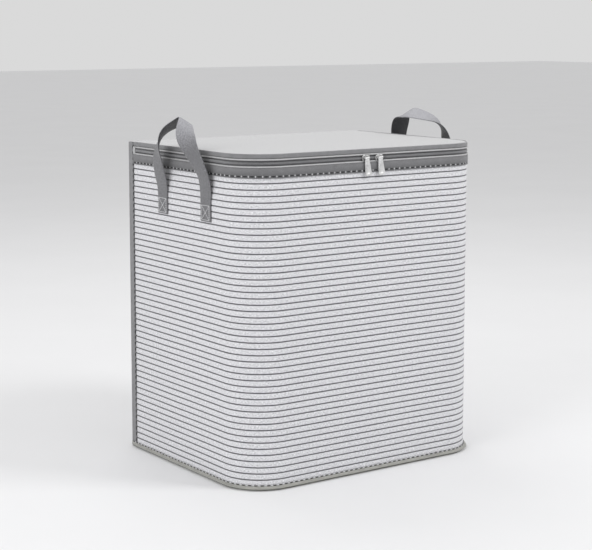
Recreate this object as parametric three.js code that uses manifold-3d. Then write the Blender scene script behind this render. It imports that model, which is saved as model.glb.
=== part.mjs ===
// Fabric storage bin: a stiffened textile box with a zipped flip-over lid and two webbing handles.
// Millimetres, +Z up. X runs along the front, the front faces -Y and the hinge side faces +Y.
// The origin is the centre of the underside.
import * as THREE from 'three';
import { mergeVertices } from 'three/addons/utils/BufferGeometryUtils.js';
import Module from 'manifold-3d';

const wasm = await Module();
wasm.setup();

// Overall size
const WIDTH = 481;
const DEPTH = 365;
const HEIGHT = 533;
const CORNER_R = 69;
const ARC_STEPS = 12;

// Layers of every panel, counted inwards from the outer face
const GAP = 0.3;
const FABRIC = 0.9;
const BOARD = 2.4;
const LINING = 0.6;
const BOARD_OUT = -(FABRIC + GAP);
const BOARD_IN = BOARD_OUT - BOARD;
const LINING_OUT = BOARD_IN - GAP;
const LINING_IN = LINING_OUT - LINING;

// Heights of the trim, from the floor up
const BINDING_TOP = 8.5;
const BINDING_FLARE = 5.5;
const BINDING_EDGE = 3;
const BINDING_SHOULDER = 1;
const BOARD_TOP = 500;
const BAND_BOTTOM = 495;
const BAND_TOP = 511;
const BAND_THICKNESS = 1.2;
const PIPING_LOWER_Z = 512.7;
const ZIP_Z = 518.25;
const PIPING_UPPER_Z = 524;
const PIPING_R = 1.4;
const RIM_BOTTOM = 525.7;
const PIPING_OUT = 0.5;
const PIPING_SIDES = 8;
const ZIP_TAPE = 0.7;
const TAPE_OUT = BOARD_OUT;
const TAPE_IN = TAPE_OUT - ZIP_TAPE;
const COIL_HEIGHT = 2;
const COIL_FRONT = 0.6;
const ZIP_END_LENGTH = 6;
const ZIP_END_OUT = 1.5;
const BACK_TOP = HEIGHT - FABRIC - GAP;
const BACK_BINDING_WIDTH = 15.5;
const BACK_TAPE = 0.8;

// Sliders and their pulls
const SLIDER_LEFT_X = -14;
const SLIDER_RIGHT_X = 13;
const SLIDER_LENGTH = 15;
const SLIDER_HEIGHT = 7.8;
const SLIDER_PLATE = 1.1;
const SLIDER_FRONT = 1.3;
const SLIDER_LIP = 1.1;
const SLIDER_LIP_BACK = 0.8;
const SLIDER_BACK = 1;
const SLIDER_BACK_CLEARANCE = 0.4;
const PIVOT_OUT = 4.6;
const BRIDGE_R = 0.6;
const BRIDGE_HALF = 5;
const BRIDGE_FOOT = 1.4;
const BRIDGE_FOOT_HEIGHT = 2;
const WELD = 0.2;
const PULL_LENGTH = 29;
const PULL_WIDTH = 12;
const PULL_NECK = 6.8;
const PULL_NECK_END = -5;
const PULL_SHOULDER = -8.5;
const PULL_CORNER_R = 3.5;
const PULL_THICKNESS = 1.2;
const PULL_LEAN = 8;
const EYE_R = 1.8;
const EYE_BORE_R = 1;

// Handles: webbing with both ends sewn flat to a side wall
const WEBBING_WIDTH = 30;
const WEBBING = 2;
const TAB_BOTTOM = 420;
const TAB_TOP = 448;
const TAB_REAR_Y = 69;
const TAB_FRONT_Y = -64;
const STRAP_OUT = WIDTH / 2 + GAP + WEBBING / 2;
const STRAP_RINGS = 44;

// Path of each free loop: distance out from the centre plane, y, z, then how far the
// webbing has turned about the vertical and how far its inner edge dips, in degrees
const LOOP_LEFT = [
  [STRAP_OUT, TAB_REAR_Y, TAB_TOP + GAP, 0, 0],
  [254, 58, 487, 5, 16],
  [265, 46, 525, 15, 27],
  [266, 24, 555, 29, 23],
  [261, -6, 573, 44, 22],
  [257, -31, 578, 72, 24],
  [267, -45, 564, 116, 19],
  [265, -59, 532, 159, 11],
  [253, -74, 493, 176, 1],
  [STRAP_OUT, TAB_FRONT_Y, TAB_TOP + GAP, 180, 0],
];
const LOOP_RIGHT = [
  [STRAP_OUT, TAB_REAR_Y, TAB_TOP + GAP, 0, 0],
  [259, 70, 491, 7, 15],
  [259, 68, 537, 28, 26],
  [258, 50, 569, 65, 33],
  [258, 15, 571, 105, 27],
  [266, -24, 560, 142, 15],
  [267, -53, 531, 169, 12],
  [261, -62, 489, 172, 6],
  [STRAP_OUT, TAB_FRONT_Y, TAB_TOP + GAP, 180, 0],
];

const finish = (color, roughness, metalness = 0) =>
  new THREE.MeshStandardMaterial({ color, roughness, metalness });
const STRIPED = finish(0xd9dbe0, 0.9);
const LID_FABRIC = finish(0xcfd1d4, 0.9);
const GREY_TAPE = finish(0x7f8083, 0.85);
const BASE_TAPE = finish(0x9a9c9f, 0.85);
const PIPING = finish(0xbfc0c2, 0.7);
const ZIP_GREY = finish(0x68686b, 0.8);
const WEBBING_GREY = finish(0x77787b, 0.85);
const BOARD_FINISH = finish(0xc9c2b2, 0.8);
const LINING_FINISH = finish(0xe3e4e6, 0.9);
const METAL = finish(0xd4d6d8, 0.3, 1);

const bin = new THREE.Group();

function addNode(name, geometry, material) {
  const mesh = new THREE.Mesh(geometry, material);
  mesh.name = name;
  bin.add(mesh);
}

// Six times the enclosed volume, positive when the faces point out
function signedVolume(points, indices) {
  let total = 0;
  for (let i = 0; i < indices.length; i += 3) {
    const [a, b, c] = [points[indices[i]], points[indices[i + 1]], points[indices[i + 2]]];
    total += a.dot(b.clone().cross(c));
  }
  return total;
}

// A closed solid through rings of equal point count: capped at its ends, or joined round
function loft(rings, joined = false) {
  const n = rings[0].length;
  const points = rings.flat();
  const indices = [];
  const spans = joined ? rings.length : rings.length - 1;
  for (let r = 0; r < spans; r += 1) {
    const next = (r + 1) % rings.length;
    for (let i = 0; i < n; i += 1) {
      const j = (i + 1) % n;
      indices.push(r * n + i, r * n + j, next * n + j);
      indices.push(r * n + i, next * n + j, next * n + i);
    }
  }
  if (!joined) {
    const last = (rings.length - 1) * n;
    for (let i = 1; i < n - 1; i += 1) {
      indices.push(0, i + 1, i);
      indices.push(last, last + i, last + i + 1);
    }
  }
  if (signedVolume(points, indices) < 0) indices.reverse();
  const geometry = new THREE.BufferGeometry().setFromPoints(points);
  geometry.setIndex(indices);
  geometry.computeVertexNormals();
  return geometry;
}

// Places along the U of the walls, each with its outward direction, from rear left to rear right
function wallStations(rearY) {
  const stations = [{ x: -WIDTH / 2, y: rearY, nx: -1, ny: 0 }];
  for (const side of [-1, 1]) {
    const start = side < 0 ? Math.PI : 1.5 * Math.PI;
    for (let i = 0; i <= ARC_STEPS; i += 1) {
      const angle = start + (i / ARC_STEPS) * (Math.PI / 2);
      const nx = Math.cos(angle);
      const ny = Math.sin(angle);
      const x = side * (WIDTH / 2 - CORNER_R) + CORNER_R * nx;
      const y = -DEPTH / 2 + CORNER_R + CORNER_R * ny;
      stations.push({ x, y, nx, ny });
    }
  }
  stations.push({ x: WIDTH / 2, y: rearY, nx: 1, ny: 0 });
  return stations;
}

// Sweeps a section of [outward, height] points along stations of the wall
const sweep = (section, stations, joined) =>
  loft(stations.map(({ x, y, nx, ny }) =>
    section.map(([out, z]) => new THREE.Vector3(x + out * nx, y + out * ny, z))), joined);

const rectangle = (outA, outB, zA, zB) => [[outA, zA], [outB, zA], [outB, zB], [outA, zB]];

// Section of a piping cord at this height
const cord = (z) => Array.from({ length: PIPING_SIDES }, (_, i) => {
  const angle = ((i + 0.5) / PIPING_SIDES) * 2 * Math.PI;
  return [PIPING_OUT + PIPING_R * Math.cos(angle), z + PIPING_R * Math.sin(angle)];
});

const wallBand = (outA, outB, zA, zB, rearY) =>
  sweep(rectangle(outA, outB, zA, zB), wallStations(rearY));

// The footprint moved inwards by inset, with square rear corners, as a level plate
function plate(inset, rearY, zA, zB) {
  const half = WIDTH / 2 - inset;
  const centreX = WIDTH / 2 - CORNER_R;
  const centreY = -DEPTH / 2 + CORNER_R;
  const radius = CORNER_R - inset;
  const outline = new THREE.Shape();
  outline.moveTo(-half, rearY);
  outline.lineTo(-half, centreY);
  outline.absarc(-centreX, centreY, radius, Math.PI, 1.5 * Math.PI);
  outline.absarc(centreX, centreY, radius, 1.5 * Math.PI, 2 * Math.PI);
  outline.lineTo(half, rearY);
  const options = { depth: zB - zA, bevelEnabled: false, curveSegments: ARC_STEPS };
  return new THREE.ExtrudeGeometry(outline, options).translate(0, 0, zA);
}

const box = (x0, x1, y0, y1, z0, z1) =>
  new THREE.BoxGeometry(x1 - x0, y1 - y0, z1 - z0)
    .translate((x0 + x1) / 2, (y0 + y1) / 2, (z0 + z1) / 2);

function toSolid(geometry) {
  const bare = geometry.clone();
  bare.deleteAttribute('normal');
  bare.deleteAttribute('uv');
  const merged = mergeVertices(bare, 1e-4);
  const vertProperties = new Float32Array(merged.attributes.position.array);
  const triVerts = new Uint32Array(merged.index.array);
  return new wasm.Manifold(new wasm.Mesh({ numProp: 3, vertProperties, triVerts }));
}

function toGeometry(solid) {
  const { vertProperties, triVerts } = solid.getMesh();
  const geometry = new THREE.BufferGeometry();
  geometry.setAttribute('position', new THREE.BufferAttribute(vertProperties, 3));
  geometry.setIndex(new THREE.BufferAttribute(triVerts, 1));
  geometry.computeVertexNormals();
  return geometry;
}

const unite = (...geometries) =>
  toGeometry(geometries.map(toSolid).reduce((whole, piece) => whole.add(piece)));

function addBase() {
  const rear = DEPTH / 2;
  addNode('base_fabric', plate(0, rear, 0, FABRIC), STRIPED);
  addNode('base_stiffener', plate(-BOARD_OUT, rear + BOARD_OUT, -BOARD_OUT, -BOARD_IN),
    BOARD_FINISH);
  addNode('base_lining', plate(-LINING_OUT, rear + LINING_OUT, -LINING_OUT, -LINING_IN),
    LINING_FINISH);
}

// The bound seam round the foot flares outwards and runs on across the back
function addBaseBinding() {
  const section = [
    [GAP, GAP], [BINDING_FLARE, GAP], [BINDING_FLARE, BINDING_EDGE],
    [GAP + BINDING_SHOULDER, BINDING_TOP], [GAP, BINDING_TOP],
  ];
  const stations = wallStations(DEPTH / 2);
  stations[0].ny = 1;
  stations.at(-1).ny = 1;
  addNode('base_binding', sweep(section, stations, true), BASE_TAPE);
}

function addWalls() {
  const rear = DEPTH / 2;
  addNode('wall_fabric', wallBand(-FABRIC, 0, FABRIC + GAP, BAND_TOP, rear + BOARD_OUT), STRIPED);
  addNode('wall_stiffener', wallBand(BOARD_IN, BOARD_OUT, -LINING_OUT, BOARD_TOP,
    rear + LINING_OUT), BOARD_FINISH);
  addNode('wall_lining', wallBand(LINING_IN, LINING_OUT, -LINING_IN + GAP, PIPING_LOWER_Z,
    rear + LINING_IN - GAP), LINING_FINISH);
}

function addBack() {
  const rear = DEPTH / 2;
  const half = WIDTH / 2;
  addNode('back_fabric', box(-half, half, rear - FABRIC, rear, FABRIC + GAP, BACK_TOP), STRIPED);
  addNode('back_stiffener', box(-half - BOARD_OUT, half + BOARD_OUT, rear + BOARD_IN,
    rear + BOARD_OUT, -LINING_OUT, ZIP_Z), BOARD_FINISH);
  addNode('back_lining', box(-half - LINING_OUT, half + LINING_OUT, rear + LINING_IN,
    rear + LINING_OUT, -LINING_IN + GAP, ZIP_Z), LINING_FINISH);
}

// Tape folded round each rear corner, from the foot to the lid
function addBackBindings() {
  const half = WIDTH / 2;
  const rear = DEPTH / 2;
  const inner = GAP;
  const outer = GAP + BACK_TAPE;
  const zA = BINDING_TOP + GAP;
  for (const [name, side] of [['back_binding_left', -1], ['back_binding_right', 1]]) {
    const outline = new THREE.Shape([
      [half + inner, rear - BACK_BINDING_WIDTH], [half + outer, rear - BACK_BINDING_WIDTH],
      [half + outer, rear + outer], [half - BACK_BINDING_WIDTH, rear + outer],
      [half - BACK_BINDING_WIDTH, rear + inner], [half + inner, rear + inner],
    ].map(([x, y]) => new THREE.Vector2(side * x, y)));
    const options = { depth: BACK_TOP - zA, bevelEnabled: false };
    addNode(name, new THREE.ExtrudeGeometry(outline, options).translate(0, 0, zA), GREY_TAPE);
  }
}

function addBinTrim() {
  const rear = DEPTH / 2 - BACK_BINDING_WIDTH - GAP;
  const zipRear = rear - ZIP_END_LENGTH;
  addNode('top_band', wallBand(GAP, GAP + BAND_THICKNESS, BAND_BOTTOM, BAND_TOP, rear), GREY_TAPE);
  addNode('piping_lower', sweep(cord(PIPING_LOWER_Z), wallStations(rear)), PIPING);
  addNode('zip_tape_lower', wallBand(TAPE_IN, TAPE_OUT, BOARD_TOP + GAP, ZIP_Z - GAP / 2, rear),
    ZIP_GREY);
  addNode('zip_coil_lower', wallBand(-FABRIC, COIL_FRONT, ZIP_Z - GAP / 2 - COIL_HEIGHT,
    ZIP_Z - GAP / 2, zipRear), ZIP_GREY);
  const low = PIPING_LOWER_Z + PIPING_R + GAP;
  const high = PIPING_UPPER_Z - PIPING_R - GAP;
  for (const [name, side] of [['zip_end_left', -1], ['zip_end_right', 1]]) {
    const xs = [side * (WIDTH / 2 - FABRIC), side * (WIDTH / 2 + ZIP_END_OUT)].sort((a, b) => a - b);
    addNode(name, box(...xs, zipRear + GAP, rear, low, high), PIPING);
  }
  const half = WIDTH / 2 - BACK_BINDING_WIDTH - GAP;
  addNode('hinge_tape', box(-half, half, DEPTH / 2 + GAP, DEPTH / 2 + GAP + BACK_TAPE,
    BAND_TOP, BACK_TOP), LID_FABRIC);
}

function addLid() {
  const rear = DEPTH / 2;
  const top = HEIGHT;
  addNode('lid_fabric', plate(-BOARD_OUT, rear, top - FABRIC, top), LID_FABRIC);
  const boardTop = top - FABRIC - GAP;
  const inset = -TAPE_IN + GAP;
  const inner = rear - FABRIC - BOARD - LINING - 3 * GAP;
  addNode('lid_stiffener', plate(inset, inner, boardTop - BOARD, boardTop), BOARD_FINISH);
  const liningTop = boardTop - BOARD - GAP;
  addNode('lid_lining', plate(inset, inner, liningTop - LINING, liningTop), LINING_FINISH);
  const sideRear = rear - BACK_BINDING_WIDTH - GAP;
  addNode('lid_rim', wallBand(-FABRIC, GAP, RIM_BOTTOM, top, sideRear), GREY_TAPE);
  addNode('piping_upper', sweep(cord(PIPING_UPPER_Z), wallStations(sideRear)), PIPING);
  addNode('zip_tape_upper', wallBand(TAPE_IN, TAPE_OUT, ZIP_Z + GAP / 2, top - FABRIC - GAP,
    sideRear), ZIP_GREY);
  addNode('zip_coil_upper', wallBand(-FABRIC, COIL_FRONT, ZIP_Z + GAP / 2,
    ZIP_Z + GAP / 2 + COIL_HEIGHT, sideRear - ZIP_END_LENGTH), ZIP_GREY);
}

const barAlongX = (radius, length) =>
  new THREE.CylinderGeometry(radius, radius, length, 16).rotateZ(Math.PI / 2);

// The slider's front half, with its lip under the coil and the bridge that holds the pull
function sliderFront() {
  const half = SLIDER_LENGTH / 2;
  const low = -SLIDER_HEIGHT / 2;
  const face = -SLIDER_FRONT - SLIDER_PLATE;
  const lipEnd = half - 0.5;
  const footOut = -PIVOT_OUT - 0.8;
  const footInner = BRIDGE_HALF - BRIDGE_FOOT;
  const footHalf = BRIDGE_FOOT_HEIGHT / 2;
  return unite(
    box(-half, half, face, -SLIDER_FRONT, low, -low),
    box(-lipEnd, lipEnd, -SLIDER_FRONT - WELD, SLIDER_LIP_BACK, low, low + SLIDER_LIP),
    box(-BRIDGE_HALF, -footInner, footOut, face + WELD, -footHalf, footHalf),
    box(footInner, BRIDGE_HALF, footOut, face + WELD, -footHalf, footHalf),
    barAlongX(BRIDGE_R, 2 * BRIDGE_HALF - 1).translate(0, -PIVOT_OUT, 0),
  );
}

// A flat tab, rounded at the bottom, rolled round the bridge at the top
function pull() {
  const half = PULL_WIDTH / 2;
  const neck = PULL_NECK / 2;
  const r = PULL_CORNER_R;
  const top = -(EYE_R + EYE_BORE_R) / 2;
  const outline = new THREE.Shape();
  outline.moveTo(neck, top);
  outline.lineTo(neck, PULL_NECK_END);
  outline.lineTo(half, PULL_SHOULDER);
  outline.lineTo(half, -PULL_LENGTH + r);
  outline.absarc(half - r, -PULL_LENGTH + r, r, 0, -Math.PI / 2, true);
  outline.absarc(-half + r, -PULL_LENGTH + r, r, -Math.PI / 2, -Math.PI, true);
  outline.lineTo(-half, PULL_SHOULDER);
  outline.lineTo(-neck, PULL_NECK_END);
  outline.lineTo(-neck, top);
  const options = { depth: PULL_THICKNESS, bevelEnabled: false, curveSegments: 5 };
  const tab = new THREE.ExtrudeGeometry(outline, options)
    .rotateX(Math.PI / 2)
    .translate(0, PULL_THICKNESS / 2, 0);
  const leaning = tab.rotateY(THREE.MathUtils.degToRad(-PULL_LEAN));
  const eye = toSolid(barAlongX(EYE_R, PULL_NECK));
  const bore = toSolid(barAlongX(EYE_BORE_R, 2 * PULL_NECK));
  return toGeometry(toSolid(leaning).add(eye).subtract(bore)).translate(0, -PIVOT_OUT, 0);
}

function addSliders() {
  const face = -DEPTH / 2;
  const half = SLIDER_LENGTH / 2;
  const backFace = face - TAPE_IN + SLIDER_BACK_CLEARANCE;
  for (const [side, x] of [['left', SLIDER_LEFT_X], ['right', SLIDER_RIGHT_X]]) {
    addNode(`slider_${side}`, sliderFront().translate(x, face, ZIP_Z), METAL);
    addNode(`slider_${side}_back`, box(x - half, x + half, backFace, backFace + SLIDER_BACK,
      ZIP_Z - SLIDER_HEIGHT / 2, ZIP_Z + SLIDER_HEIGHT / 2), METAL);
    addNode(`pull_${side}`, pull().translate(x, face, ZIP_Z), METAL);
  }
}

// One free loop of webbing, turned so that it lies flat on the wall at both ends
function handleLoop(side, path) {
  const centre = new THREE.CatmullRomCurve3(
    path.map(([out, y, z]) => new THREE.Vector3(side * out, y, z)));
  const turning = new THREE.CatmullRomCurve3(
    path.map(([, , , turn, dip]) => new THREE.Vector3(turn, dip, 0)));
  const upright = new THREE.Vector3(0, 0, 1);
  const rings = [];
  for (let i = 0; i <= STRAP_RINGS; i += 1) {
    const t = i / STRAP_RINGS;
    const point = centre.getPoint(t);
    const ends = i === 0 || i === STRAP_RINGS;
    const along = ends ? upright.clone().multiplyScalar(i ? -1 : 1) : centre.getTangent(t);
    const { x: turnDeg, y: dipDeg } = turning.getPoint(t);
    const turn = THREE.MathUtils.degToRad(turnDeg);
    const dip = THREE.MathUtils.degToRad(dipDeg);
    const across = new THREE.Vector3(-side * Math.sin(turn) * Math.cos(dip),
      Math.cos(turn) * Math.cos(dip), -Math.sin(dip));
    across.addScaledVector(along, -across.dot(along)).normalize();
    const through = along.clone().cross(across).normalize();
    rings.push([[-1, -1], [1, -1], [1, 1], [-1, 1]].map(([u, v]) => point.clone()
      .addScaledVector(across, u * WEBBING_WIDTH / 2)
      .addScaledVector(through, v * WEBBING / 2)));
  }
  return loft(rings);
}

function addHandles() {
  const half = WEBBING_WIDTH / 2;
  for (const [name, side, path] of [['left', -1, LOOP_LEFT], ['right', 1, LOOP_RIGHT]]) {
    const xs = [side * (STRAP_OUT - WEBBING / 2), side * (STRAP_OUT + WEBBING / 2)];
    xs.sort((a, b) => a - b);
    for (const [end, y] of [['rear', TAB_REAR_Y], ['front', TAB_FRONT_Y]]) {
      addNode(`handle_${name}_tab_${end}`,
        box(...xs, y - half, y + half, TAB_BOTTOM, TAB_TOP), WEBBING_GREY);
    }
    addNode(`handle_${name}_loop`, handleLoop(side, path), WEBBING_GREY);
  }
}

addBase();
addBaseBinding();
addWalls();
addBack();
addBackBindings();
addBinTrim();
addLid();
addSliders();
addHandles();

export default bin;
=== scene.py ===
"""Looks of a fabric storage bin: striped cloth over board, a zipped flip-over lid and two webbing handles.

Metres, +Z up. X runs along the front, the front faces -Y and the lid is hinged along the back.
"""
import math

import bpy
import numpy as np
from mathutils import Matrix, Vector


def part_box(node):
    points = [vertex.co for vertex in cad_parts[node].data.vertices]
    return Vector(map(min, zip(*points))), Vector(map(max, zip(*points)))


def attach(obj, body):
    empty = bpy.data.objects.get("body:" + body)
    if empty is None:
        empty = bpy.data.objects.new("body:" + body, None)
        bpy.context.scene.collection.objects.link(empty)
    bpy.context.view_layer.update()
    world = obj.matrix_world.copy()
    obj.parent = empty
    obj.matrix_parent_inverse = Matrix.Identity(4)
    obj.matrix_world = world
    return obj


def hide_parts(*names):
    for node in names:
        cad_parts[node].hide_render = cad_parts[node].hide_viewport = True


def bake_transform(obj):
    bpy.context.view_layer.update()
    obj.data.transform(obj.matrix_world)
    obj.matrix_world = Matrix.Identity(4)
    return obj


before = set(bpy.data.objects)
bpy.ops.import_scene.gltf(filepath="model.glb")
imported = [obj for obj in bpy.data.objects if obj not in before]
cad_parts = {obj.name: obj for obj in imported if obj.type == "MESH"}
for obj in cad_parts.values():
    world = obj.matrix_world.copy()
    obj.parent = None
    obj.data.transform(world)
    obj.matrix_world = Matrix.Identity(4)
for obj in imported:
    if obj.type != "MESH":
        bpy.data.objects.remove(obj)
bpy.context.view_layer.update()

MM = 0.001

# The box, from the frame
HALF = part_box("base_fabric")[1].x
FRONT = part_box("base_fabric")[0].y
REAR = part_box("base_fabric")[1].y
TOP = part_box("lid_fabric")[1].z
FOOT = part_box("wall_fabric")[0].z
BACK_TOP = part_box("back_fabric")[1].z
CORNER_R = 69 * MM
SIDE = REAR - FRONT - CORNER_R
ARC = CORNER_R * math.pi / 2
WALL_LENGTH = 2 * (SIDE + ARC + HALF - CORNER_R)

# The trim, from the frame
BAND_LOW, BAND_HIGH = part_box("top_band")[0].z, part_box("top_band")[1].z
TRIM_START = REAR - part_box("top_band")[1].y
ZIP_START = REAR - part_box("zip_coil_lower")[1].y
ZIP_Z = (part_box("zip_coil_lower")[1].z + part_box("zip_coil_upper")[0].z) / 2
BINDING_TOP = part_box("base_binding")[1].z
BINDING_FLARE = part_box("base_binding")[1].x - HALF
GAP = 0.3 * MM

# Stripes run level round the bin, counted down from the first one under the band
STRIPE_PITCH = 10 * MM
STRIPE_TOP = BAND_LOW - 8 * MM
STRIPE_HALF = 1.05 * MM

SIDE_NAMES = {-1: "left", 1: "right"}

# Distance along each handle strap to the middle of its loop, where the webbing's painted sheen is centred
LOOP_MIDDLE = 200 * MM


# ---- Materials ----

def level(grey, cool=0.0):
    """A linear colour that displays as this grey level, 0 to 255, with this much more in its blue."""
    rgb = (grey, grey, grey + cool)
    return [((c / 255 + 0.055) / 1.055) ** 2.4 for c in rgb] + [1.0]


class Look:
    """A procedural material: a Principled shader, and short calls for the nodes that feed it."""

    def __init__(self, name, roughness, metallic=0.0, sheen=0.0):
        self.material = bpy.data.materials.new(name)
        self.material.use_nodes = True
        self.tree = self.material.node_tree
        self.shader = self.tree.nodes["Principled BSDF"]
        self.shader.inputs["Roughness"].default_value = roughness
        self.shader.inputs["Metallic"].default_value = metallic
        self.shader.inputs["Sheen Weight"].default_value = sheen
        self.shader.inputs["Sheen Roughness"].default_value = 0.5

    def node(self, kind, inputs=(), **settings):
        made = self.tree.nodes.new(kind)
        for name, value in settings.items():
            setattr(made, name, value)
        for key, value in dict(inputs).items():
            if isinstance(value, bpy.types.NodeSocket):
                self.tree.links.new(value, made.inputs[key])
            else:
                made.inputs[key].default_value = value
        return made

    def math(self, operation, a, b=0.0):
        return self.node("ShaderNodeMath", {0: a, 1: b}, operation=operation).outputs[0]

    def times(self, a, b):
        return self.math("MULTIPLY", a, b)

    def plus(self, a, b):
        return self.math("ADD", a, b)

    def minus(self, a, b):
        return self.math("SUBTRACT", a, b)

    def cloth(self):
        """Distance along and across the cloth, in metres, as the mesh was made with."""
        place = self.node("ShaderNodeAttribute", attribute_name="cloth").outputs["Vector"]
        parts = self.node("ShaderNodeSeparateXYZ", {0: place})
        # The third part marks a reverse face; the webbing material darkens it as painted shade.
        self.reverse = parts.outputs[2]
        return place, parts.outputs[0], parts.outputs[1]

    def place(self):
        return self.node("ShaderNodeTexCoord").outputs["Object"]

    def noise(self, place, grain, detail=2.0):
        """Noise from 0 to 1 whose grain is this many metres along x, y and z."""
        scaled = self.node("ShaderNodeVectorMath",
                           {0: place, 1: [1 / g for g in grain]}, operation="MULTIPLY").outputs[0]
        settings = {"Vector": scaled, "Scale": 1.0, "Detail": detail, "Roughness": 0.6}
        return self.node("ShaderNodeTexNoise", settings).outputs["Fac"]

    def wave(self, value, pitch):
        return self.math("SINE", self.times(value, 2 * math.pi / pitch))

    def remap(self, value, low, high, to_low=0.0, to_high=1.0, smooth=False):
        kind = "SMOOTHSTEP" if smooth else "LINEAR"
        settings = {"Value": value, "From Min": low, "From Max": high,
                    "To Min": to_low, "To Max": to_high}
        return self.node("ShaderNodeMapRange", settings, interpolation_type=kind).outputs[0]

    def mix(self, factor, a, b):
        return self.node("ShaderNodeMix", {0: factor, 6: a, 7: b}, data_type="RGBA").outputs[2]

    def shade(self, factor, low, high, cool=0.0):
        """A grey between these two levels."""
        return self.mix(factor, level(low, cool), level(high, cool))

    def drive(self, setting, value):
        self.tree.links.new(value, self.shader.inputs[setting])

    def finished(self, colour, height, distance, strength):
        """The material in this colour, with relief of this many metres where height goes from 0 to 1."""
        self.drive("Base Color", colour)
        bump = self.node("ShaderNodeBump", {"Height": height, "Distance": distance, "Strength": strength})
        self.drive("Normal", bump.outputs[0])
        return self.material


def woven(look, along, across, warp, weft):
    """Plain weave from -1 to 1: over and under threads of these two pitches."""
    return look.times(look.wave(along, warp), look.wave(across, weft))


def striped_cloth(name, striped=True):
    """Pale linen-look cloth with thin dark stripes, slubs in both directions and a faint diagonal."""
    look = Look(name, roughness=0.88, sheen=0.1)
    place, along, across = look.cloth()
    slub = look.noise(place, (3.6 * MM, 1.0 * MM, 1))
    cross_slub = look.noise(place, (1.1 * MM, 3.0 * MM, 1))
    cloud = look.noise(place, (12 * MM, 8 * MM, 1), detail=3)
    diagonal = look.wave(look.plus(along, look.times(across, 1.3)), 3.1 * MM)
    diagonal = look.times(diagonal, look.remap(cloud, 0.35, 0.65, 0.0, 0.10))
    grain = look.plus(look.times(slub, 0.55), look.times(cross_slub, 0.45))
    grain = look.plus(grain, diagonal)
    ground = look.mix(look.remap(grain, 0.34, 0.66), level(166, 4), level(255, 3))
    height = woven(look, along, across, 1.25 * MM, 1.1 * MM)
    height = look.plus(look.times(height, 0.2), grain)
    if striped:
        wobble = look.times(look.minus(slub, 0.5), 0.9 * MM)
        turns = look.math("DIVIDE", look.plus(look.minus(across, STRIPE_TOP), wobble),
                          STRIPE_PITCH)
        offset = look.math("ABSOLUTE", look.minus(turns, look.math("ROUND", turns)))
        edge = STRIPE_HALF / STRIPE_PITCH
        stripe = look.remap(offset, edge - 0.025, edge + 0.025, 1.0, 0.0, smooth=True)
        dark = look.shade(look.remap(cross_slub, 0.3, 0.7), 68, 110, 4)
        ground = look.mix(stripe, ground, dark)
    return look.finished(ground, height, 0.35 * MM, 0.9)


def ribbed_tape(name, low, high, cool=2.0, seam=None):
    """Woven tape, lighter on its ribs and unevenly dyed; it can darken across its width towards a seam, as
    painted shade.
    """
    look = Look(name, roughness=0.8, sheen=0.2)
    rib = 1.1 * MM
    place, along, across = look.cloth()
    ribs = look.remap(look.wave(along, rib), -1, 1)
    selvedge = look.remap(look.wave(across, rib * 0.8), -1, 1)
    speckle = look.noise(place, (1.4 * MM, 1.0 * MM, 1), detail=3)
    uneven = look.noise(place, (14 * MM, 8 * MM, 1))
    height = look.plus(look.times(ribs, selvedge), look.times(speckle, 0.7))
    tone = look.plus(look.times(height, 0.5), look.times(uneven, 0.3))
    face = look.shade(look.remap(tone, 0.15, 0.85), low, high, cool)
    if seam:
        # Painted shade: the tape's colour darkens towards the seam, standing in for the shade there.
        seam_shade = look.remap(across, seam[0], seam[1], 1.0, 0.0, smooth=True)
        face = look.mix(look.times(seam_shade, 0.9), face, look.shade(tone, 84, 112, cool))
    return look.finished(face, height, 0.18 * MM, 0.8)


def webbing():
    """Coarse webbing: flecked ribs, a painted sheen that lightens and cools the middle of the loop, and
    painted shade that darkens the reverse face.
    """
    look = Look("webbing", roughness=0.5, sheen=0.15)
    place, along, across = look.cloth()
    ribs = look.remap(look.wave(along, 2.4 * MM), -1, 1)
    rows = look.remap(look.wave(across, 2.0 * MM), -1, 1)
    flecks = look.remap(look.noise(place, (2.6 * MM, 1.9 * MM, 1), detail=2), 0.36, 0.64)
    height = look.plus(look.times(look.times(ribs, rows), 0.6), flecks)
    tone = look.times(height, 0.62)
    face = look.shade(tone, 78, 140, 3)
    # Painted sheen: towards the middle of the loop, where the strap faces up into the lights, the colour is
    # mixed towards a lighter, bluer grey.
    from_middle = look.math("ABSOLUTE", look.minus(along, LOOP_MIDDLE))
    amount = look.remap(from_middle, 15 * MM, 75 * MM, 0.85, 0.0, smooth=True)
    face = look.mix(amount, face, look.mix(tone, level(150, 6), level(192, 5)))
    # Painted shade: the reverse face gets a much darker grey.
    back = look.shade(tone, 30, 56, 3)
    return look.finished(look.mix(look.reverse, face, back), height, 0.25 * MM, 0.8)


def lid_cloth():
    """Close, slightly felted pale grey cloth."""
    look = Look("lid_cloth", roughness=0.9, sheen=0.2)
    place, along, across = look.cloth()
    fine = look.noise(place, (2.4 * MM, 1.3 * MM, 1), detail=3)
    broad = look.noise(place, (16 * MM, 11 * MM, 1), detail=3)
    weave = woven(look, along, across, 1.0 * MM, 1.0 * MM)
    height = look.plus(look.plus(look.times(weave, 0.25), fine), look.times(broad, 1.5))
    return look.finished(look.shade(look.remap(fine, 0.34, 0.66), 166, 214, 1), height, 0.2 * MM, 0.7)


def piping_cloth():
    """Bias-cut satin wrapped round a cord, with faint diagonal threads."""
    look = Look("piping", roughness=0.5, sheen=0.1)
    place, along, across = look.cloth()
    twill = look.wave(look.plus(along, across), 0.9 * MM)
    fine = look.noise(place, (3 * MM, 1 * MM, 1))
    return look.finished(look.shade(look.remap(fine, 0.3, 0.7), 164, 194, 1),
                         look.remap(twill, -1, 1), 0.08 * MM, 0.6)


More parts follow.
